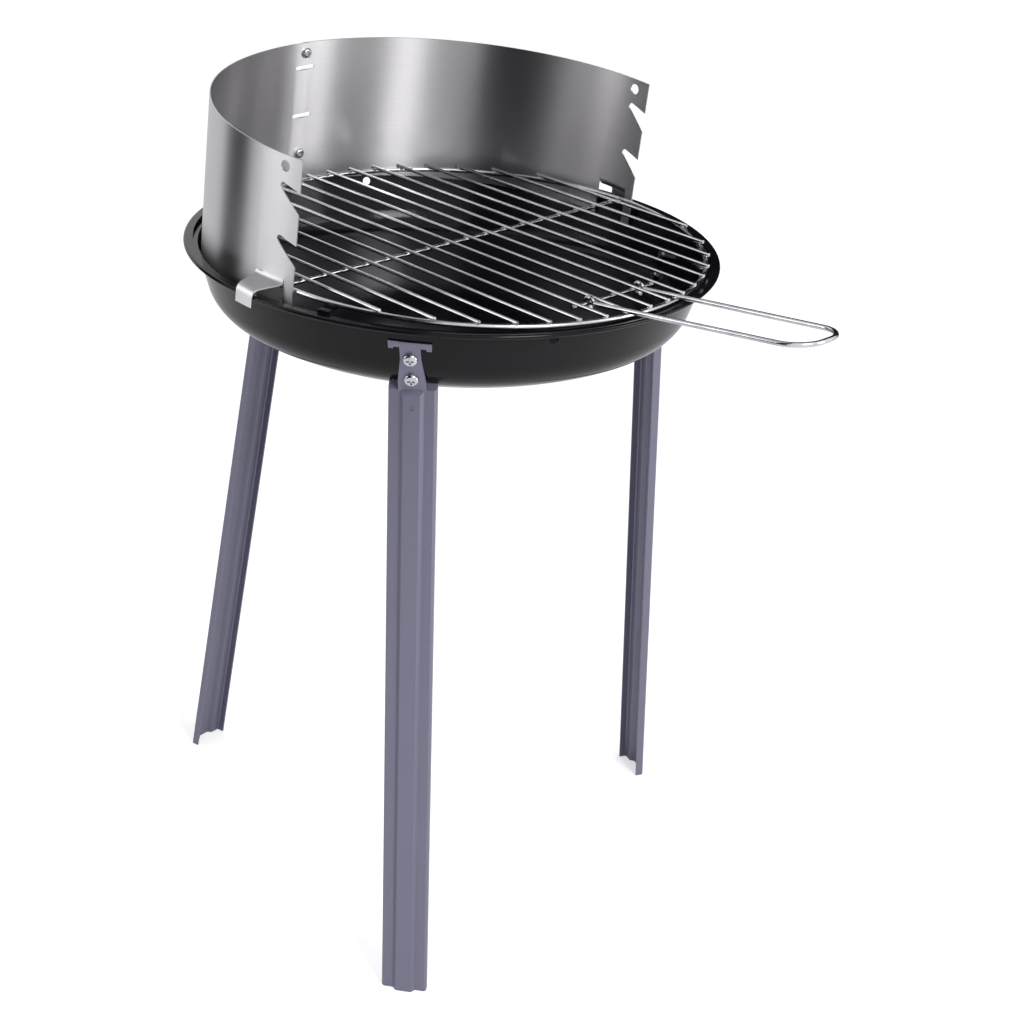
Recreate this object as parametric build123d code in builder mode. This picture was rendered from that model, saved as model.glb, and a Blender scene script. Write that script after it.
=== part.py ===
from build123d import *
from math import cos, degrees, radians, sin, sqrt, tan
import os

# Common sizes, in millimetres: the bowl's axis is the Z axis, the floor is z = 0
rim_height = 491.0
rim_radius = 190.0
steel = 1.0
sheet = 0.8
seat = 0.1
rest_gap = 0.3
weld_gap = 0.05
hole_clearance = 0.4
thread_clearance = 0.1
overrun = 8.0
nut_side_count = 6

# Bowl
bead_radius = 1.6
flange_width = 6.5
ledge_depth = 3.0
ledge_width = 1.7
wall_taper = 16.4
wall_depth = 30.7
corner_radius = 27.1
dish_radius = 209.4
dish_angle = 27.2
boss_clearance = 0.3
vent_diameter = 6.3
vent_depth = 8.2
vent_azimuth = 67.0

# Legs: pressed channels, each with shoulders, a neck and a T-shaped head
leg_azimuths = {"front": 217.4, "right": 337.4, "left": 97.4}
leg_steel = 1.2
leg_lean = 3.1
leg_splay = 5.6
leg_width = 32.0
leg_channel_depth = 10.0
leg_edge_slope = 1.5
leg_panel_width = 11.0
leg_panel_rise = 3.2
leg_panel_slope = 2.5
leg_shoulder_depth = 41.0
leg_shoulder_slope = 9.5
leg_dimple_diameter = 3.0
leg_dimple_depth = 0.6
leg_dimple_drop = 18.3
neck_width = 13.7
neck_root_width = 18.5
neck_root_height = 18.0
neck_foot = 8.4
neck_top_depth = 11.5
head_width = 29.0
head_height = 4.2
ear_width = 3.4
ear_height = 5.6
upper_screw_depth = 23.5
lower_screw_depth = 39.0
screw_diameter = 5.0
screw_head_diameter = 9.6
screw_head_height = 3.2
screw_head_round = 2.0
screw_recess_length = 5.0
screw_stub = 1.6
nut_width = 8.0
nut_height = 4.0
recess_width = 1.3
recess_depth = 1.2

# Windshield: two sheets that stand in the bowl's tapered wall and lean forward
shield_inset = 6.6
shield_shift = 4.2
shield_lean = 3.8
shield_top = 96.2
shield_foot = 14.3
seam_azimuth = 87.2
seam_lap_width = 5.6
right_end_azimuth = -7.6
left_end_azimuth = 190.0
notch_drops = (24.3, 60.2)
notch_mouth = 12.7
notch_reach = 17.0
notch_lift = 3.4
notch_end_radius = 2.6
corner_hole_diameter = 7.6
corner_hole_inset = 14.0
corner_hole_drop = 7.4
slot_drops = (19.1, 56.5)
slot_length = 18.0
slot_height = 3.2
seam_screw_drops = (7.7, 86.2)
seam_screw_diameter = 4.0
seam_head_diameter = 7.6
seam_head_height = 2.4
seam_head_round = 1.6
seam_recess_length = 3.6
seam_nut_width = 7.0
seam_nut_height = 3.2
seam_stub = 1.2
tab_inset = 8.4
tab_width = 26.0
tab_narrowing = 10.3
tab_top = 13.4
tab_start = 9.1
tab_crest = 4.4
tab_reach = 0.75
tab_drop = 7.0
tab_bend = 5.5
window_clearance = 0.4

# Grate: it lies on the flange at the front and on two rests, its back a little higher
grate_shift = 14.7
grate_tilt = 0.9
ring_inset = 15.1
ring_wire = 3.5
bar_count = 17
bar_edge_gap = 15.36
bar_wire = 2.6
long_wire = 3.0
long_wire_shift = 0.7
short_wire = 2.6
short_wire_inset = 31.1
short_wire_bars = 2
short_wire_end = 2.4
rest_azimuth = 198.7
rest_width = 8.0
rest_reach = 12.0

# Handle: a loop of wire with an eye at each end round the short cross wire
handle_wire = 3.5
handle_length = 170.0
handle_root_gap = 5.77
handle_narrowing = 2.2
handle_shift = 1.5
handle_rise = 7.6
handle_tip_flat = 3.7
eye_clearance = 0.3
eye_entry_turn = 60.0
eye_turn = 265.0

# Worked out from the sizes above
taper = radians(wall_taper)
flange_inner_radius = rim_radius - flange_width
wall_radius = flange_inner_radius - ledge_width
shield_radius = wall_radius - shield_inset
ring_radius = flange_inner_radius - ring_inset
bar_pitch = 2 * (ring_radius - bar_edge_gap) / (bar_count - 1)
short_wire_reach = ring_radius - short_wire_inset
rest_inner_radius = flange_inner_radius - rest_reach
screw_depths = (upper_screw_depth, lower_screw_depth)
screw_middle = (upper_screw_depth + lower_screw_depth) / 2
shield_frame = Plane(Location((0, shield_shift, rim_height), (shield_lean, 0, 0)))
grate_level = ring_wire / 2 + rest_gap + ring_radius * sin(radians(grate_tilt))
grate_frame = Plane(Location((0, -grate_shift, rim_height + grate_level), (grate_tilt, 0, 0)))
bar_level = ring_wire / 2 + bar_wire / 2 + weld_gap
bar_underside = ring_wire / 2
pieces = {}


def save(piece, name, frame=Plane.XY):
    """Keep one finished piece, moved into its frame."""
    pieces[name] = piece.moved(frame.location)


def direction(azimuth):
    """Level unit vector that points away from the axis."""
    return Vector(cos(radians(azimuth)), sin(radians(azimuth)), 0)


def side_plane(azimuth, level=rim_height):
    """Upright plane through the Z axis: X points outward, Y up from a level."""
    return Plane(
        origin=(0, 0, level), x_dir=direction(azimuth), z_dir=direction(azimuth - 90)
    )


def turned(plane, angle):
    """Turn a plane about its own normal."""
    return Plane(plane.location * Location((0, 0, 0), (0, 0, angle)))


def wall_radius_at(depth):
    """Outer radius of the bowl's tapered wall at a depth below the rim."""
    return wall_radius - depth * tan(taper)


def leg_plane(azimuth, depth, lift):
    """Plane lifted off the wall's outer face: X runs round the bowl, Y up the leaning neck."""
    out = direction(azimuth) * cos(taper) - Vector(0, 0, sin(taper))
    spot = direction(azimuth) * wall_radius_at(screw_middle)
    spot += Vector(0, 0, rim_height - screw_middle)
    wall = turned(Plane(origin=spot, x_dir=direction(azimuth + 90), z_dir=out), leg_lean)
    drop = (depth - screw_middle) / cos(taper)
    return Plane(
        origin=wall.from_local_coords((0, -drop, lift)), x_dir=wall.x_dir, z_dir=wall.z_dir
    )


def sheet_plane(azimuth, drop, radius):
    """Plane on a windshield sheet, a drop below its top edge: X runs round it, Y up it."""
    spot = direction(azimuth) * radius + Vector(0, 0, shield_top - drop)
    return Plane(origin=spot, x_dir=direction(azimuth + 90), z_dir=direction(azimuth))


def bowl_side(inset, top):
    """Draw the bowl's wall, corner and dish as far as the axis, inset from its outer face."""
    foot = wall_depth - inset * sin(taper)
    wall = Line(
        (wall_radius_at(top) - inset / cos(taper), -top),
        (wall_radius_at(foot) - inset / cos(taper), -foot),
    )
    corner = JernArc(wall @ 1, wall % 1, corner_radius - inset, wall_taper + dish_angle - 90)
    dish = JernArc(corner @ 1, corner % 1, dish_radius - inset, -dish_angle)
    base = Line(dish @ 1, (0, (dish @ 1).Y))
    return wall @ 0, base @ 1


# Bowl: one pressed shell with a rolled bead, two vents and the legs' screw holes
boss_bore_radius = nut_width / 2 / cos(radians(30)) + boss_clearance
with BuildPart() as bowl:
    with BuildSketch(side_plane(0)):
        with BuildLine():
            outer_top, outer_base = bowl_side(0, ledge_depth + steel)
            Polyline(
                outer_top,
                (flange_inner_radius + steel, -ledge_depth - steel),
                (flange_inner_radius + steel, -steel),
                (rim_radius - bead_radius, -steel),
                (rim_radius - bead_radius, 0),
                (0, 0),
                outer_base,
            )
        make_face()
        with Locations((rim_radius - bead_radius, -bead_radius)):
            Circle(bead_radius)
    revolve(axis=Axis.Z)
    for azimuth in leg_azimuths.values():
        with BuildSketch(leg_plane(azimuth, lower_screw_depth, 0)):
            Circle(boss_bore_radius + steel)
        extrude(amount=-overrun)
    with BuildSketch(side_plane(0)):
        with BuildLine():
            inner_top, inner_base = bowl_side(steel, ledge_depth)
            Polyline(
                inner_top,
                (flange_inner_radius, -ledge_depth),
                (flange_inner_radius, overrun),
                (0, overrun),
                inner_base,
            )
        make_face()
    revolve(axis=Axis.Z, mode=Mode.SUBTRACT)
    for azimuth in leg_azimuths.values():
        with BuildSketch(leg_plane(azimuth, lower_screw_depth, -steel)):
            Circle(boss_bore_radius)
        extrude(amount=-overrun, mode=Mode.SUBTRACT)
        for depth in screw_depths:
            with BuildSketch(leg_plane(azimuth, depth, 0)):
                Circle((screw_diameter + hole_clearance) / 2)
            extrude(amount=overrun, both=True, mode=Mode.SUBTRACT)
    vent_centre = (0, 0, rim_height - vent_depth)
    with BuildSketch(Plane(origin=vent_centre, z_dir=direction(vent_azimuth))):
        Circle(vent_diameter / 2)
    extrude(amount=rim_radius, both=True, mode=Mode.SUBTRACT)
save(bowl.part, "bowl")

# The bowl's outer shape as one filled body, which the legs are cut to fit
with BuildPart() as bowl_shape:
    with BuildSketch(side_plane(0)):
        with BuildLine():
            shape_top, shape_base = bowl_side(-seat, ledge_depth)
            Polyline(shape_top, (0, -ledge_depth), shape_base)
        make_face()
    revolve(axis=Axis.Z)


def make_leg(azimuth):
    """Build one leg in its place under the rim."""
    neck = leg_plane(azimuth, leg_shoulder_depth, seat)
    splay = radians(leg_splay)
    out = direction(azimuth) * cos(splay) + Vector(0, 0, sin(splay))
    shoulder = neck.from_local_coords((0, 0, leg_steel))
    face = turned(Plane(origin=shoulder, x_dir=direction(azimuth + 90), z_dir=out), leg_lean)
    half = leg_width / 2
    edge = [
        (leg_panel_width / 2, 0),
        (leg_panel_width / 2 + leg_panel_slope, -leg_panel_rise),
        (half - leg_edge_slope, -leg_panel_rise),
        (half, -leg_panel_rise - leg_edge_slope),
        (half, -leg_channel_depth),
    ]
    mirrored_edge = [(-x, y) for x, y in reversed(edge)]
    neck_rise = (leg_shoulder_depth - neck_top_depth) / cos(taper)
    neck_side = [
        (neck_root_width / 2, -neck_foot),
        (neck_root_width / 2, 0),
        (neck_width / 2, neck_root_height),
        (neck_width / 2, neck_rise),
    ]
    mirrored_neck = [(-x, y) for x, y in reversed(neck_side)]
    head_shift = (screw_middle - neck_top_depth) * sin(radians(leg_lean))
    head_azimuth = azimuth - degrees(head_shift / wall_radius)
    half_head = degrees(head_width / 2 / wall_radius)
    ear = degrees(ear_width / wall_radius)
    strips = [
        (head_azimuth - half_head, 2 * half_head, head_height),
        (head_azimuth - half_head, ear, ear_height),
        (head_azimuth + half_head - ear, ear, ear_height),
    ]
    section = Plane(origin=shoulder, x_dir=face.x_dir, z_dir=-face.y_dir)
    profile = Plane(origin=shoulder, x_dir=face.z_dir, z_dir=face.x_dir)
    slope = leg_shoulder_slope / leg_channel_depth
    cap_rise = leg_steel * sqrt(1 + slope**2)
    with BuildPart() as cap:
        # plate that closes the channel's top, sloping down from the bowl to the leg's front
        with BuildSketch(section):
            Polygon(*mirrored_edge, *edge, align=None)
        extrude(amount=leg_shoulder_slope + cap_rise)
        with BuildSketch(profile):
            Polygon(
                (-leg_channel_depth, 0),
                (0, leg_shoulder_slope),
                (0, leg_shoulder_slope + cap_rise),
                (-leg_channel_depth, cap_rise),
                align=None,
            )
        extrude(amount=leg_width, both=True, mode=Mode.INTERSECT)
    with BuildPart() as leg:
        # ribbed channel, open toward the bowl, cut aslant under the cap and level at the floor
        with BuildSketch(section):
            with BuildLine():
                Polyline(*mirrored_edge, *edge)
                offset(amount=leg_steel, side=Side.RIGHT)
            make_face()
        extrude(amount=rim_height)
        split(bisect_by=Plane.XY, keep=Keep.TOP)
        with BuildSketch(profile):
            Polygon(
                (-leg_channel_depth, 0),
                (overrun, leg_shoulder_slope + slope * overrun),
                (overrun, -overrun),
                (-leg_channel_depth, -overrun),
                align=None,
            )
        extrude(amount=leg_width, both=True, mode=Mode.SUBTRACT)
        add(cap.part)
        # room for the bowl's wall and for its boss round the lower screw
        add(bowl_shape.part, mode=Mode.SUBTRACT)
        with BuildSketch(leg_plane(azimuth, lower_screw_depth, 0)):
            Circle(boss_bore_radius + steel + rest_gap)
        extrude(amount=overrun, both=True, mode=Mode.SUBTRACT)
        # neck against the bowl's wall
        with BuildSketch(neck):
            with BuildLine():
                Polyline(*neck_side, *mirrored_neck, close=True)
            make_face()
        extrude(amount=leg_steel)
        # head: a strip round the wall with an ear turned down at each end
        for start, turn, height in strips:
            top = neck_top_depth
            low = neck_top_depth + height
            with BuildSketch(side_plane(start)):
                Polygon(
                    (wall_radius_at(top) + seat, -top),
                    (wall_radius_at(top) + seat + leg_steel, -top),
                    (wall_radius_at(low) + seat + leg_steel, -low),
                    (wall_radius_at(low) + seat, -low),
                    align=None,
                )
            revolve(axis=Axis.Z, revolution_arc=turn)
        for depth in screw_depths:
            with BuildSketch(leg_plane(azimuth, depth, 0)):
                Circle((screw_diameter + hole_clearance) / 2)
            extrude(amount=overrun, both=True, mode=Mode.SUBTRACT)
        with BuildSketch(face):
            with Locations((0, -leg_dimple_drop)):
                Circle(leg_dimple_diameter / 2)
        extrude(amount=-leg_dimple_depth, mode=Mode.SUBTRACT)
    return leg.part


def make_screws(planes, diameter, reach, head_diameter, head_height, head_round, recess_length):
    """Build pan-head screws with cross recesses, each head's seat on one of the planes."""
    with BuildPart() as screw:
        Cylinder(head_diameter / 2, head_height, align=(Align.CENTER, Align.CENTER, Align.MIN))
        fillet(edges().group_by(Axis.Z)[-1], head_round)
        Cylinder(diameter / 2, reach, align=(Align.CENTER, Align.CENTER, Align.MAX))
        with BuildSketch(Plane.XY.offset(head_height)):
            Rectangle(recess_length, recess_width)
            Rectangle(recess_width, recess_length)
        extrude(amount=-recess_depth, mode=Mode.SUBTRACT)
    with BuildPart() as screws:
        with Locations(*planes):
            add(screw.part)
    return screws.part


def make_nuts(planes, width, height, screw):
    """Build hexagon nuts, each with its seat on one of the planes."""
    with BuildPart() as nut:
        with BuildSketch():
            RegularPolygon(width / 2, nut_side_count, major_radius=False)
            Circle(screw / 2 + thread_clearance, mode=Mode.SUBTRACT)
        extrude(amount=height)
    with BuildPart() as nuts:
        with Locations(*planes):
            add(nut.part)
    return nuts.part


# Legs with their screws and nuts
screw_reach = leg_steel + seat + steel + seat + nut_height + screw_stub
for name, azimuth in leg_azimuths.items():
    save(make_leg(azimuth), f"leg_{name}")
    heads = [leg_plane(azimuth, depth, seat + leg_steel) for depth in screw_depths]
    screws = make_screws(
        heads,
        screw_diameter,
        screw_reach,
        screw_head_diameter,
        screw_head_height,
        screw_head_round,
        screw_recess_length,
    )
    save(screws, f"leg_screws_{name}")
    inner = [-leg_plane(azimuth, depth, -steel - seat) for depth in screw_depths]
    save(make_nuts(inner, nut_width, nut_height, screw_diameter), f"leg_nuts_{name}")

# Grate rests: angle pieces that stand on the ledge and carry the ring
rest_y = rest_inner_radius * sin(radians(rest_azimuth))
rest_top = grate_level + (rest_y + grate_shift) * tan(radians(grate_tilt))
rest_top -= ring_wire / 2 + rest_gap
rest_outer_radius = flange_inner_radius - seat
for name, azimuth in (("left", rest_azimuth), ("right", 180 - rest_azimuth)):
    with BuildPart() as rest:
        with BuildSketch(side_plane(azimuth)):
            Polygon(
                (rest_inner_radius, rest_top),
                (rest_outer_radius, rest_top),
                (rest_outer_radius, -ledge_depth + seat),
                (rest_outer_radius - leg_steel, -ledge_depth + seat),
                (rest_outer_radius - leg_steel, rest_top - leg_steel),
                (rest_inner_radius, rest_top - leg_steel),
                align=None,
            )
        extrude(amount=rest_width / 2, both=True)
    save(rest.part, f"grate_rest_{name}")


def make_sheet(end_azimuth, seam, radius):
    """Build the sheet on the +X side, from its free end to the seam, about its own axis."""
    turn = seam - end_azimuth + degrees(seam_lap_width / 2 / radius)
    inner = radius - sheet
    tab_azimuth = end_azimuth + degrees((tab_inset + tab_width / 2) / radius)
    tab_turn = degrees((tab_width + 2 * window_clearance) / inner)
    tab_edge = tab_width / 2 - tab_narrowing
    with BuildPart() as tab:
        # tab bent outward over the bowl's rim, its edge near the free end cut aslant
        with BuildSketch(side_plane(tab_azimuth - tab_turn / 2, 0)):
            with BuildLine():
                FilletPolyline(
                    (inner, tab_top),
                    (inner, tab_start),
                    (rim_radius + tab_reach, tab_crest),
                    (rim_radius + tab_reach, -tab_drop),
                    radius=tab_bend,
                )
                offset(amount=sheet, side=Side.LEFT)
            make_face()
        revolve(axis=Axis.Z, revolution_arc=tab_turn)
        with BuildSketch(Plane(origin=(0, 0, 0), x_dir=direction(tab_azimuth))):
            Polygon(
                (0, -tab_width / 2),
                (radius, -tab_width / 2),
                (rim_radius, -tab_edge),
                (rim_radius + overrun, -tab_edge),
                (rim_radius + overrun, tab_width / 2),
                (0, tab_width / 2),
                align=None,
            )
        extrude(amount=shield_top, both=True, mode=Mode.INTERSECT)
    with BuildPart() as piece:
        with BuildSketch(side_plane(end_azimuth, 0)):
            Polygon(
                (inner, -shield_foot),
                (radius, -shield_foot),
                (radius, shield_top),
                (inner, shield_top),
                align=None,
            )
        revolve(axis=Axis.Z, revolution_arc=turn)
        # corner hole and the two hooked notches of the free end
        end = sheet_plane(end_azimuth, 0, inner)
        with BuildSketch(end):
            with Locations((corner_hole_inset, -corner_hole_drop)):
                Circle(corner_hole_diameter / 2)
        extrude(amount=overrun, both=True, mode=Mode.SUBTRACT)
        for drop in notch_drops:
            with BuildSketch(end):
                with Locations((notch_reach - notch_end_radius, notch_lift - drop)):
                    Circle(notch_end_radius)
                with BuildLine():
                    Polyline(
                        (-overrun, -drop),
                        (0, -drop),
                        (0, -drop - notch_mouth),
                        (-overrun, -drop - notch_mouth),
                        close=True,
                    )
                make_face()
                make_hull()
            extrude(amount=overrun, both=True, mode=Mode.SUBTRACT)
        # slots and screw holes of the seam
        for drop in slot_drops:
            with BuildSketch(sheet_plane(seam, drop, inner)):
                SlotOverall(slot_length, slot_height)
            extrude(amount=overrun, both=True, mode=Mode.SUBTRACT)
        for drop in seam_screw_drops:
            with BuildSketch(sheet_plane(seam, drop, inner)):
                Circle((seam_screw_diameter + hole_clearance) / 2)
            extrude(amount=overrun, both=True, mode=Mode.SUBTRACT)
        # gap that the tab leaves below
        with BuildSketch(sheet_plane(tab_azimuth, shield_top - tab_top, inner)):
            Rectangle(
                tab_width + 2 * window_clearance,
                tab_top + shield_foot + overrun,
                align=(Align.CENTER, Align.MAX),
            )
        extrude(amount=overrun, both=True, mode=Mode.SUBTRACT)
        add(tab.part)
    return piece.part


# Windshield sheets: the left one is a mirror copy that lies inside the right one at the seam
lap = sheet + seat
save(make_sheet(right_end_azimuth, seam_azimuth, shield_radius), "windshield_right", shield_frame)
left_sheet = make_sheet(180 - left_end_azimuth, 180 - seam_azimuth, shield_radius - lap)
save(left_sheet.mirror(Plane.YZ), "windshield_left", shield_frame)

# Screws and nuts of the seam, their heads inside
seam_inner_radius = shield_radius - lap - sheet - seat
seam_reach = seat + sheet + lap + seat + seam_nut_height + seam_stub
seam_heads = [-sheet_plane(seam_azimuth, drop, seam_inner_radius) for drop in seam_screw_drops]
seam_screws = make_screws(
    seam_heads,
    seam_screw_diameter,
    seam_reach,
    seam_head_diameter,
    seam_head_height,
    seam_head_round,
    seam_recess_length,
)
save(seam_screws, "seam_screws", shield_frame)
nut_seats = [sheet_plane(seam_azimuth, drop, shield_radius + seat) for drop in seam_screw_drops]
seam_nuts = make_nuts(nut_seats, seam_nut_width, seam_nut_height, seam_screw_diameter)
save(seam_nuts, "seam_nuts", shield_frame)

# Grate: ring, bars of their own lengths across it, cross wires under the bars
with BuildPart() as ring:
    Torus(ring_radius, ring_wire / 2)
save(ring.part, "grate_ring", grate_frame)
for index in range(bar_count):
    bar_x = (index - (bar_count - 1) / 2) * bar_pitch
    bar_length = 2 * sqrt((ring_radius + ring_wire / 2) ** 2 - bar_x**2)
    with BuildPart() as bar:
        with Locations((bar_x, 0, bar_level)):
            Cylinder(bar_wire / 2, bar_length, rotation=(90, 0, 0))
    save(bar.part, f"grate_bar_{index + 1:02d}", grate_frame)
long_reach = ring_radius - ring_wire / 2 - weld_gap
with BuildPart() as long_cross_wire:
    with Locations((0, long_wire_shift, bar_underside - long_wire / 2)):
        Cylinder(long_wire / 2, 2 * long_reach, rotation=(0, 90, 0))
save(long_cross_wire.part, "long_cross_wire", grate_frame)
hinge_level = bar_underside - short_wire / 2
short_length = 2 * (short_wire_bars * bar_pitch + short_wire_end)
with BuildPart() as short_cross_wire:
    with Locations((0, -short_wire_reach, hinge_level)):
        Cylinder(short_wire / 2, short_length, rotation=(0, 90, 0))
save(short_cross_wire.part, "short_cross_wire", grate_frame)

# Handle, in its own frame: Y runs from the hinge to the tip, X across, Z up
eye_radius = short_wire / 2 + eye_clearance + handle_wire / 2
eye_entry = 2 * eye_radius * sin(radians(eye_entry_turn))
tip_reach = handle_length - handle_wire / 2
handle_root_half = bar_pitch + handle_root_gap
handle_tip_half = handle_root_half - handle_narrowing
handle_bend = handle_tip_half - handle_tip_flat
rise = radians(handle_rise)
hinge_frame = Plane(
    origin=grate_frame.from_local_coords((handle_shift, -short_wire_reach, hinge_level)),
    x_dir=-grate_frame.x_dir,
    z_dir=grate_frame.z_dir * cos(rise) + grate_frame.y_dir * sin(rise),
)
strand_planes = [
    Plane(
        origin=(side * handle_root_half, 0, 0),
        x_dir=(-side * handle_narrowing, tip_reach, 0),
        z_dir=(tip_reach, side * handle_narrowing, 0),
    )
    for side in (-1, 1)
]
strand_starts = [plane.from_local_coords((eye_entry, 0)) for plane in strand_planes]
with BuildPart() as handle:
    with BuildLine() as grip:
        FilletPolyline(
            strand_starts[0],
            (-handle_tip_half, tip_reach),
            (handle_tip_half, tip_reach),
            strand_starts[1],
            radius=handle_bend,
        )
    with BuildSketch(Plane(origin=grip.line @ 0, z_dir=grip.line % 0)):
        Circle(handle_wire / 2)
    sweep()
    for plane in strand_planes:
        with BuildLine(plane) as eye:
            entry = JernArc((eye_entry, 0), (-1, 0), eye_radius, -eye_entry_turn)
            JernArc(entry @ 1, entry % 1, eye_radius, eye_turn)
        with BuildSketch(Plane(origin=eye.line @ 0, z_dir=eye.line % 0)):
            Circle(handle_wire / 2)
        sweep()
save(handle.part, "handle", hinge_frame)

# The origin of the files lies on the floor under the middle of the whole outline
boxes = [piece.bounding_box() for piece in pieces.values()]
middle_x = (min(box.min.X for box in boxes) + max(box.max.X for box in boxes)) / 2
middle_y = (min(box.min.Y for box in boxes) + max(box.max.Y for box in boxes)) / 2
os.makedirs("parts", exist_ok=True)
for name, piece in pieces.items():
    placed = piece.moved(Location((-middle_x, -middle_y, 0)))
    placed.label = name
    export_step(placed, f"parts/{name}.step")
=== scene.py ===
from math import asin, cos, radians, sin, sqrt

import bpy
from mathutils import Matrix, Vector


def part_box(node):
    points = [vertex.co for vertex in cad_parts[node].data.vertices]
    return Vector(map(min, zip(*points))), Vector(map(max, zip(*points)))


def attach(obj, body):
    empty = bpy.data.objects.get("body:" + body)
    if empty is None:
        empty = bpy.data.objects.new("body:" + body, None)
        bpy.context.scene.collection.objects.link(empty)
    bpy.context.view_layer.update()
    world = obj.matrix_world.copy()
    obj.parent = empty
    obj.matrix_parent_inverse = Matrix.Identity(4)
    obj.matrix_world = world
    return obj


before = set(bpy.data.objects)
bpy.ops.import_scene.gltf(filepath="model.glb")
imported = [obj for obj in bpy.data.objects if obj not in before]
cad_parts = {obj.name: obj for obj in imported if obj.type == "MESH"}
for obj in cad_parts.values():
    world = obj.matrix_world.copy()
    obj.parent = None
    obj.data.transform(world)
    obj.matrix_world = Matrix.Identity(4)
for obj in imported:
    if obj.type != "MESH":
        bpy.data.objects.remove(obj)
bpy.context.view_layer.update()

# The bowl's upright axis, and the height of its rim, in the shared frame
bowl_low, bowl_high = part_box("bowl")
AXIS_X = (bowl_low.x + bowl_high.x) / 2
AXIS_Y = (bowl_low.y + bowl_high.y) / 2
RIM = bowl_high.z

# The windshield leans forward from an axis a little behind the bowl's
SHEET_AXIS_Y = AXIS_Y + 0.0042
SHEET_RADIUS = 0.175

# Weld beads of the grate
RING_WIRE = 0.0035
BEAD_RADIUS = 0.0017
BEAD_FLATNESS = 0.6
BEAD_SPREAD = 0.25
BEAD_SEED = 7
BEAD_DIVISIONS = 2

# Floor and background: the floor's glow to the camera, the share of it that mirror reflections
# see, and the light that the world throws on the grill
WHITE = (1.0, 1.0, 1.0, 1.0)
FLOOR_GREY = (0.86, 0.86, 0.86, 1.0)
FLOOR_REACH = 8.0
FLOOR_GLOW = 0.5
MIRRORED_GLOW = 0.3
WORLD_TINT = (0.97, 0.97, 1.0, 1.0)
WORLD_LIGHT = 0.58

# Dark cards: degrees between their rows, and their outline as reach and height
CARD_BLACK = (0.015, 0.015, 0.018, 1.0)
CARD_STEP = 5
CARD_PROFILE = ((0.62, 0.28), (0.62, 1.1), (0.45, 1.6), (0.12, 2.0))

# Camera: its place from the bowl's axis on the floor, its turn, and its focus in pixels
CAMERA_PLACE = (-1.0035, -0.9738, 0.9429)
CAMERA_RIGHT = (0.738091, -0.67339, 0.041934)
CAMERA_DOWN = (-0.250923, -0.33167, -0.909411)
CAMERA_FOCUS = 2050.2
CAMERA_SHIFT = (0.15, -0.0399)
SENSOR_WIDTH = 36.0
IMAGE_PIXELS = 1024


# ---------------------------------------------------------------- helpers


def new_object(name, points, faces):
    """A mesh object, linked into the scene."""
    mesh = bpy.data.meshes.new(name)
    mesh.from_pydata(points, [], faces)
    thing = bpy.data.objects.new(name, mesh)
    bpy.context.collection.objects.link(thing)
    return thing


def new_material(name):
    """An empty node material with its output and one Principled shader."""
    material = bpy.data.materials.new(name)
    material.use_nodes = True
    nodes = material.node_tree.nodes
    nodes.clear()
    output = nodes.new("ShaderNodeOutputMaterial")
    shader = nodes.new("ShaderNodeBsdfPrincipled")
    material.node_tree.links.new(shader.outputs["BSDF"], output.inputs["Surface"])
    return material, shader


def add_node(tree, kind, **values):
    """A node with its settings; names with a leading capital are input sockets."""
    node = tree.nodes.new(kind)
    for key, value in values.items():
        if key[0].isupper():
            node.inputs[key.replace("_", " ")].default_value = value
        else:
            setattr(node, key, value)
    return node


def new_group(name, inputs, outputs):
    """A shader node group with named inputs and outputs."""
    tree = bpy.data.node_groups.new(name, "ShaderNodeTree")
    for label, kind, value in inputs:
        socket = tree.interface.new_socket(label, in_out="INPUT", socket_type=kind)
        socket.default_value = value
    for label, kind in outputs:
        tree.interface.new_socket(label, in_out="OUTPUT", socket_type=kind)
    return tree, tree.nodes.new("NodeGroupInput"), tree.nodes.new("NodeGroupOutput")


def use_group(material, tree, **values):
    """A copy of an effect placed in a material, with its own values."""
    node = material.node_tree.nodes.new("ShaderNodeGroup")
    node.node_tree = tree
    for key, value in values.items():
        node.inputs[key.replace("_", " ")].default_value = value
    return node


def math_node(tree, operation, first, second=None):
    """A Math node fed by sockets or plain numbers."""
    node = tree.nodes.new("ShaderNodeMath")
    node.operation = operation
    for slot, value in enumerate((first, second)):
        if value is None:
            continue
        if isinstance(value, (int, float)):
            node.inputs[slot].default_value = value
        else:
            tree.links.new(value, node.inputs[slot])
    return node.outputs[0]


# ---------------------------------------------------------------- shared effects


def make_handling_marks():
    """Soft blotches of grease and dust: a mask, and a roughness that follows it."""
    tree, given, out = new_group(
        "handling marks",
        [
            ("Size", "NodeSocketFloat", 20.0),
            ("Roughness", "NodeSocketFloat", 0.3),
            ("Spread", "NodeSocketFloat", 0.1),
        ],
        [("Mask", "NodeSocketFloat"), ("Roughness", "NodeSocketFloat")],
    )
    place = tree.nodes.new("ShaderNodeTexCoord")
    noise = add_node(tree, "ShaderNodeTexNoise", Detail=6.0, Roughness=0.62)
    tree.links.new(place.outputs["Object"], noise.inputs["Vector"])
    tree.links.new(given.outputs["Size"], noise.inputs["Scale"])
    ramp = tree.nodes.new("ShaderNodeMapRange")
    ramp.inputs["From Min"].default_value = 0.35
    ramp.inputs["From Max"].default_value = 0.7
    tree.links.new(noise.outputs["Fac"], ramp.inputs["Value"])
    swing = math_node(tree, "MULTIPLY", ramp.outputs["Result"], given.outputs["Spread"])
    total = math_node(tree, "ADD", given.outputs["Roughness"], swing)
    tree.links.new(ramp.outputs["Result"], out.inputs["Mask"])
    tree.links.new(total, out.inputs["Roughness"])
    return tree


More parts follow.
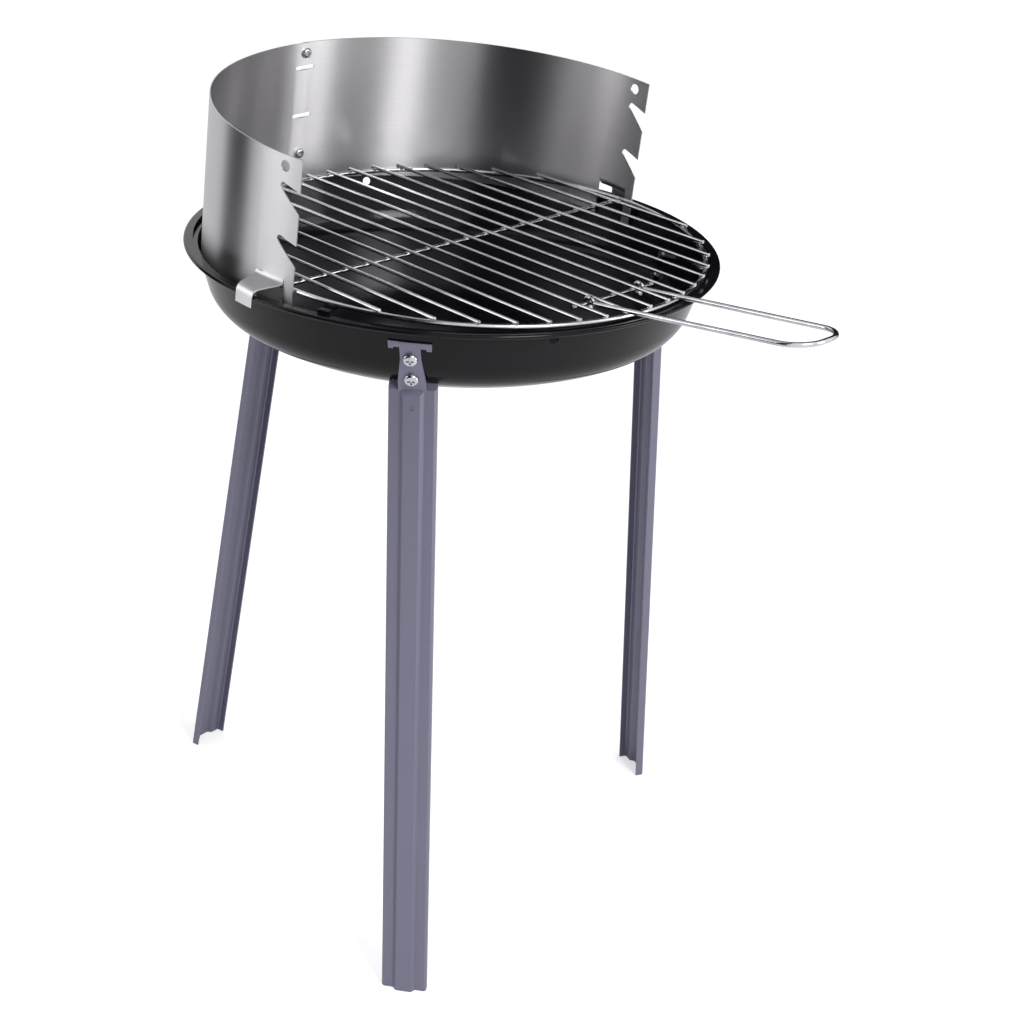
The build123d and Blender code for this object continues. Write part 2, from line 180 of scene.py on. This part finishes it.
def make_fine_texture():
    """Fine skin of paint, enamel or plating, as a normal."""
    tree, given, out = new_group(
        "fine skin",
        [("Size", "NodeSocketFloat", 900.0), ("Height", "NodeSocketFloat", 0.1)],
        [("Normal", "NodeSocketVector"), ("Grain", "NodeSocketFloat")],
    )
    place = tree.nodes.new("ShaderNodeTexCoord")
    noise = add_node(tree, "ShaderNodeTexNoise", Detail=3.0, Roughness=0.55)
    tree.links.new(place.outputs["Object"], noise.inputs["Vector"])
    tree.links.new(given.outputs["Size"], noise.inputs["Scale"])
    bump = add_node(tree, "ShaderNodeBump", Distance=0.0004)
    tree.links.new(given.outputs["Height"], bump.inputs["Strength"])
    tree.links.new(noise.outputs["Fac"], bump.inputs["Height"])
    tree.links.new(bump.outputs["Normal"], out.inputs["Normal"])
    tree.links.new(noise.outputs["Fac"], out.inputs["Grain"])
    return tree


handling_marks = make_handling_marks()
fine_skin = make_fine_texture()


# ---------------------------------------------------------------- finishes


def colour_between(material, factor, dark, light):
    """A colour that moves between two as a mask goes from 0 to 1."""
    mix = material.node_tree.nodes.new("ShaderNodeMix")
    mix.data_type = "RGBA"
    mix.inputs["A"].default_value = (*dark, 1.0)
    mix.inputs["B"].default_value = (*light, 1.0)
    material.node_tree.links.new(factor, mix.inputs["Factor"])
    return mix.outputs["Result"]


def make_enamel():
    """Black enamel of bowl and grate rests, glossy, with a slight orange peel and dust."""
    material, shader = new_material("black_enamel")
    links = material.node_tree.links
    marks = use_group(material, handling_marks, Size=14.0, Roughness=0.1, Spread=0.07)
    skin = use_group(material, fine_skin, Size=420.0, Height=0.08)
    dark, light = (0.003, 0.0025, 0.0035), (0.007, 0.006, 0.008)
    colour = colour_between(material, marks.outputs["Mask"], dark, light)
    links.new(colour, shader.inputs["Base Color"])
    links.new(marks.outputs["Roughness"], shader.inputs["Roughness"])
    links.new(skin.outputs["Normal"], shader.inputs["Normal"])
    shader.inputs["Specular IOR Level"].default_value = 0.2
    return material


def make_leg_finish():
    """Satin grey paint of the pressed legs."""
    material, shader = new_material("grey_satin_paint")
    links = material.node_tree.links
    marks = use_group(material, handling_marks, Size=22.0, Roughness=0.36, Spread=0.14)
    skin = use_group(material, fine_skin, Size=1500.0, Height=0.1)
    dark, light = (0.165, 0.162, 0.225), (0.215, 0.21, 0.285)
    colour = colour_between(material, skin.outputs["Grain"], dark, light)
    links.new(colour, shader.inputs["Base Color"])
    links.new(marks.outputs["Roughness"], shader.inputs["Roughness"])
    links.new(skin.outputs["Normal"], shader.inputs["Normal"])
    shader.inputs["Metallic"].default_value = 0.35
    return material


def make_brushed_sheet():
    """Brushed stainless steel: fine lines run level round the sheet, so highlights are upright."""
    material, shader = new_material("brushed_stainless")
    tree = material.node_tree
    links = tree.links
    place = tree.nodes.new("ShaderNodeTexCoord")
    centred = add_node(tree, "ShaderNodeMapping", vector_type="POINT")
    centred.inputs["Location"].default_value = (-AXIS_X, -SHEET_AXIS_Y, -RIM)
    links.new(place.outputs["Object"], centred.inputs["Vector"])
    parts = tree.nodes.new("ShaderNodeSeparateXYZ")
    links.new(centred.outputs["Vector"], parts.inputs["Vector"])
    turn = math_node(tree, "ARCTAN2", parts.outputs["Y"], parts.outputs["X"])
    unrolled = tree.nodes.new("ShaderNodeCombineXYZ")
    links.new(math_node(tree, "MULTIPLY", turn, SHEET_RADIUS), unrolled.inputs["X"])
    links.new(parts.outputs["Z"], unrolled.inputs["Z"])
    stretched = add_node(tree, "ShaderNodeMapping", vector_type="POINT")
    stretched.inputs["Scale"].default_value = (18.0, 1.0, 2600.0)
    links.new(unrolled.outputs["Vector"], stretched.inputs["Vector"])
    lines = add_node(tree, "ShaderNodeTexNoise", Scale=1.0, Detail=4.0, Roughness=0.7)
    links.new(stretched.outputs["Vector"], lines.inputs["Vector"])
    marks = use_group(material, handling_marks, Size=9.0, Roughness=0.33, Spread=0.05)
    dark, light = (0.50, 0.49, 0.51), (0.66, 0.65, 0.66)
    colour = colour_between(material, lines.outputs["Fac"], dark, light)
    links.new(colour, shader.inputs["Base Color"])
    links.new(marks.outputs["Roughness"], shader.inputs["Roughness"])
    bump = add_node(tree, "ShaderNodeBump", Strength=0.06, Distance=0.0003)
    links.new(lines.outputs["Fac"], bump.inputs["Height"])
    links.new(bump.outputs["Normal"], shader.inputs["Normal"])
    shader.inputs["Metallic"].default_value = 1.0
    shader.inputs["Anisotropic"].default_value = 0.95
    shader.inputs["Anisotropic Rotation"].default_value = 0.25
    tangent = add_node(tree, "ShaderNodeTangent", direction_type="RADIAL", axis="Z")
    links.new(tangent.outputs["Tangent"], shader.inputs["Tangent"])
    return material


def make_chrome(name, colour_low, colour_high, roughness):
    """Bright plating with a little haze."""
    material, shader = new_material(name)
    links = material.node_tree.links
    marks = use_group(material, handling_marks, Size=60.0, Roughness=roughness, Spread=0.1)
    skin = use_group(material, fine_skin, Size=2500.0, Height=0.05)
    colour = colour_between(material, marks.outputs["Mask"], colour_high, colour_low)
    links.new(colour, shader.inputs["Base Color"])
    links.new(marks.outputs["Roughness"], shader.inputs["Roughness"])
    links.new(skin.outputs["Normal"], shader.inputs["Normal"])
    shader.inputs["Metallic"].default_value = 1.0
    return material


enamel = make_enamel()
leg_finish = make_leg_finish()
brushed_sheet = make_brushed_sheet()
chrome_wire = make_chrome("chromed_wire", (0.50, 0.49, 0.53), (0.66, 0.65, 0.69), 0.16)
zinc = make_chrome("bright_zinc", (0.46, 0.47, 0.50), (0.62, 0.63, 0.66), 0.16)

# The first line whose beginnings fit a node's name gives its finish
FINISHES = (
    (("windshield",), brushed_sheet),
    (("leg_screws", "leg_nuts", "seam"), zinc),
    (("leg_",), leg_finish),
    (("bowl", "grate_rest"), enamel),
    (("grate_", "long_cross_wire", "short_cross_wire", "handle"), chrome_wire),
)
for node_name, node_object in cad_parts.items():
    finish = next(finish for beginnings, finish in FINISHES if node_name.startswith(beginnings))
    node_object.data.materials.clear()
    node_object.data.materials.append(finish)


# ---------------------------------------------------------------- welds of the grate


def make_weld_tree():
    """Geometry Nodes that put a flattened bead of weld metal on every point they are given."""
    tree = bpy.data.node_groups.new("weld beads", "GeometryNodeTree")
    for label, kind in (
        ("Points", "NodeSocketGeometry"),
        ("Bead Radius", "NodeSocketFloat"),
        ("Flatness", "NodeSocketFloat"),
        ("Spread", "NodeSocketFloat"),
        ("Seed", "NodeSocketInt"),
        ("Metal", "NodeSocketMaterial"),
    ):
        tree.interface.new_socket(label, in_out="INPUT", socket_type=kind)
    tree.interface.new_socket("Beads", in_out="OUTPUT", socket_type="NodeSocketGeometry")
    given = tree.nodes.new("NodeGroupInput")
    out = tree.nodes.new("NodeGroupOutput")
    bead = add_node(tree, "GeometryNodeMeshIcoSphere", Subdivisions=BEAD_DIVISIONS)
    flat = tree.nodes.new("ShaderNodeCombineXYZ")
    flat.inputs["X"].default_value = 1.0
    flat.inputs["Y"].default_value = 1.0
    squeeze = tree.nodes.new("GeometryNodeTransform")
    smallest = math_node(tree, "SUBTRACT", 1.0, given.outputs["Spread"])
    vary = add_node(tree, "FunctionNodeRandomValue", data_type="FLOAT")
    place = tree.nodes.new("GeometryNodeInstanceOnPoints")
    realize = tree.nodes.new("GeometryNodeRealizeInstances")
    smooth = tree.nodes.new("GeometryNodeSetShadeSmooth")
    finish = tree.nodes.new("GeometryNodeSetMaterial")
    float_min, float_max = [socket for socket in vary.inputs if socket.type == "VALUE"][:2]
    float_value = next(socket for socket in vary.outputs if socket.type == "VALUE")
    float_max.default_value = 1.0
    link = tree.links.new
    link(given.outputs["Bead Radius"], bead.inputs["Radius"])
    link(given.outputs["Flatness"], flat.inputs["Z"])
    link(bead.outputs["Mesh"], squeeze.inputs["Geometry"])
    link(flat.outputs["Vector"], squeeze.inputs["Scale"])
    link(given.outputs["Points"], place.inputs["Points"])
    link(squeeze.outputs["Geometry"], place.inputs["Instance"])
    link(smallest, float_min)
    link(given.outputs["Seed"], vary.inputs["Seed"])
    link(float_value, place.inputs["Scale"])
    link(place.outputs["Instances"], realize.inputs["Geometry"])
    link(realize.outputs["Geometry"], smooth.inputs["Geometry"])
    link(smooth.outputs["Geometry"], finish.inputs["Geometry"])
    link(given.outputs["Metal"], finish.inputs["Material"])
    link(finish.outputs["Geometry"], out.inputs["Beads"])
    return tree


def weld_places():
    """Where the grate's bars touch its ring and its two cross wires."""
    low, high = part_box("grate_ring")
    centre = (low + high) / 2
    radius = (high.x - low.x) / 2 - RING_WIRE / 2
    tilt = asin(((high.z - low.z) / 2 - RING_WIRE / 2) / radius)
    top = RING_WIRE / 2

    def on_grate(x, y):
        """A place on the tilted plane where the bars lie on the ring."""
        along = Vector((0, cos(tilt), sin(tilt))) * y
        return centre + Vector((x, 0, 0)) + along + Vector((0, -sin(tilt), cos(tilt))) * top

    bars = [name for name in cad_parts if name.startswith("grate_bar_")]
    wires = [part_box(name) for name in ("long_cross_wire", "short_cross_wire")]
    places = []
    for name in sorted(bars):
        bar_low, bar_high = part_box(name)
        x = (bar_low.x + bar_high.x) / 2 - centre.x
        reach = sqrt(radius**2 - x**2)
        places += [on_grate(x, reach), on_grate(x, -reach)]
        for wire_low, wire_high in wires:
            if wire_low.x < x + centre.x < wire_high.x:
                y = ((wire_low.y + wire_high.y) / 2 - centre.y) / cos(tilt)
                places.append(on_grate(x, y))
    return places


def make_welds():
    """Weld beads where the bars cross the ring and the cross wires."""
    welds = new_object("grate_welds", weld_places(), [])
    tree = make_weld_tree()
    beads = welds.modifiers.new("beads", "NODES")
    beads.node_group = tree
    values = {
        "Bead Radius": BEAD_RADIUS,
        "Flatness": BEAD_FLATNESS,
        "Spread": BEAD_SPREAD,
        "Seed": BEAD_SEED,
        "Metal": chrome_wire,
    }
    for socket in tree.interface.items_tree:
        if socket.in_out == "INPUT" and socket.name in values:
            beads[socket.identifier] = values[socket.name]
    evaluated = welds.evaluated_get(bpy.context.evaluated_depsgraph_get())
    solid = bpy.data.meshes.new_from_object(evaluated)
    welds.modifiers.clear()
    welds.data = solid
    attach(welds, "grate")


make_welds()


# ---------------------------------------------------------------- floor, light, background


def seen_directly(tree, mirrored_share=1.0):
    """One for the camera, a share for what metal and glass show, none for light on the grill."""
    path = tree.nodes.new("ShaderNodeLightPath")
    glossy, transmitted = path.outputs["Is Glossy Ray"], path.outputs["Is Transmission Ray"]
    mirrored = math_node(tree, "MAXIMUM", glossy, transmitted)
    shown = math_node(tree, "MULTIPLY", mirrored, mirrored_share)
    return math_node(tree, "MAXIMUM", path.outputs["Is Camera Ray"], shown)


def make_floor():
    """A wide pale floor that shows near white and keeps the grill's shadow."""
    reach = FLOOR_REACH
    corners = [(-reach, -reach, 0), (reach, -reach, 0), (reach, reach, 0), (-reach, reach, 0)]
    floor = new_object("floor", corners, [(0, 1, 2, 3)])
    material, shader = new_material("pale_floor")
    shader.inputs["Base Color"].default_value = FLOOR_GREY
    shader.inputs["Roughness"].default_value = 0.7
    shader.inputs["Specular IOR Level"].default_value = 0.0
    tree = material.node_tree
    glow = add_node(tree, "ShaderNodeEmission", Color=WHITE)
    strength = math_node(tree, "MULTIPLY", seen_directly(tree, MIRRORED_GLOW), FLOOR_GLOW)
    tree.links.new(strength, glow.inputs["Strength"])
    both = tree.nodes.new("ShaderNodeAddShader")
    tree.links.new(shader.outputs["BSDF"], both.inputs[0])
    tree.links.new(glow.outputs["Emission"], both.inputs[1])
    output = next(node for node in tree.nodes if node.type == "OUTPUT_MATERIAL")
    tree.links.new(both.outputs["Shader"], output.inputs["Surface"])
    floor.data.materials.append(material)


def make_world():
    """White to the camera and in reflections, plain grey light on the object."""
    world = bpy.data.worlds.new("studio")
    bpy.context.scene.world = world
    world.use_nodes = True
    tree = world.node_tree
    tree.nodes.clear()
    output = tree.nodes.new("ShaderNodeOutputWorld")
    light = add_node(tree, "ShaderNodeBackground", Color=WORLD_TINT, Strength=WORLD_LIGHT)
    white = add_node(tree, "ShaderNodeBackground", Color=WHITE, Strength=1.0)
    mix = tree.nodes.new("ShaderNodeMixShader")
    tree.links.new(seen_directly(tree), mix.inputs["Fac"])
    tree.links.new(light.outputs["Background"], mix.inputs[1])
    tree.links.new(white.outputs["Background"], mix.inputs[2])
    tree.links.new(mix.outputs["Shader"], output.inputs["Surface"])


def around(azimuth, reach, height):
    """A place at an azimuth round the bowl's axis, in degrees."""
    turn = radians(azimuth)
    return Vector((AXIS_X + reach * cos(turn), AXIS_Y + reach * sin(turn), height))


def add_softbox(name, azimuth, reach, height, size, energy):
    """A rectangular studio lamp that points at the middle of the rim."""
    place = around(azimuth, reach, height)
    lamp = bpy.data.lights.new(name, "AREA")
    lamp.shape = "RECTANGLE"
    lamp.size, lamp.size_y = size
    lamp.energy = energy
    holder = bpy.data.objects.new(name, lamp)
    holder.location = place
    holder.rotation_mode = "QUATERNION"
    aim = Vector((AXIS_X, AXIS_Y, RIM)) - place
    holder.rotation_quaternion = aim.to_track_quat("-Z", "Y")
    bpy.context.collection.objects.link(holder)


def make_card_black():
    """The dull black of the cards."""
    material, shader = new_material("card_black")
    shader.inputs["Base Color"].default_value = CARD_BLACK
    shader.inputs["Roughness"].default_value = 0.9
    shader.inputs["Specular IOR Level"].default_value = 0.0
    return material


def add_card(name, first, last):
    """A dark studio card between two azimuths, which only metal and gloss show."""
    steps = round((last - first) / CARD_STEP)
    verts = []
    for step in range(steps + 1):
        azimuth = first + (last - first) * step / steps
        verts += [around(azimuth, reach, height) for reach, height in CARD_PROFILE]
    rows = len(CARD_PROFILE)
    corners = [rows * step + row for step in range(steps) for row in range(rows - 1)]
    faces = [(corner, corner + rows, corner + rows + 1, corner + 1) for corner in corners]
    card = new_object(name, verts, faces)
    card.visible_camera = False
    card.visible_diffuse = False
    card.visible_shadow = False
    card.data.materials.append(card_black)


make_floor()
make_world()
add_softbox("front_box", 257, 1.7, 1.6, (0.6, 0.7), 20)
add_softbox("right_box", 303, 2.2, 1.0, (0.7, 1.5), 12)
add_softbox("left_box", 142, 2.6, 1.2, (0.9, 1.6), 8)
card_black = make_card_black()
add_card("card_right", -35, 60)
add_card("card_behind", 112, 132)
add_card("card_left", 165, 215)


# ---------------------------------------------------------------- camera


def make_camera():
    """The photograph's point of view, from a fit to rim, grate, windshield and legs.

    The shift is smaller than the best fit asks for, so that other views stay near the middle.
    """
    x, y, z = CAMERA_PLACE
    place = Vector((AXIS_X + x, AXIS_Y + y, z))
    right = Vector(CAMERA_RIGHT)
    down = Vector(CAMERA_DOWN)
    ahead = right.cross(down)
    data = bpy.data.cameras.new("camera")
    data.sensor_width = SENSOR_WIDTH
    data.lens = CAMERA_FOCUS * SENSOR_WIDTH / IMAGE_PIXELS
    data.shift_x, data.shift_y = CAMERA_SHIFT
    camera = bpy.data.objects.new("camera", data)
    turn = Matrix((right, -down, -ahead)).transposed().to_4x4()
    camera.matrix_world = Matrix.Translation(place) @ turn
    bpy.context.collection.objects.link(camera)
    bpy.context.scene.camera = camera


make_camera()
bpy.context.scene.view_settings.view_transform = "Standard"
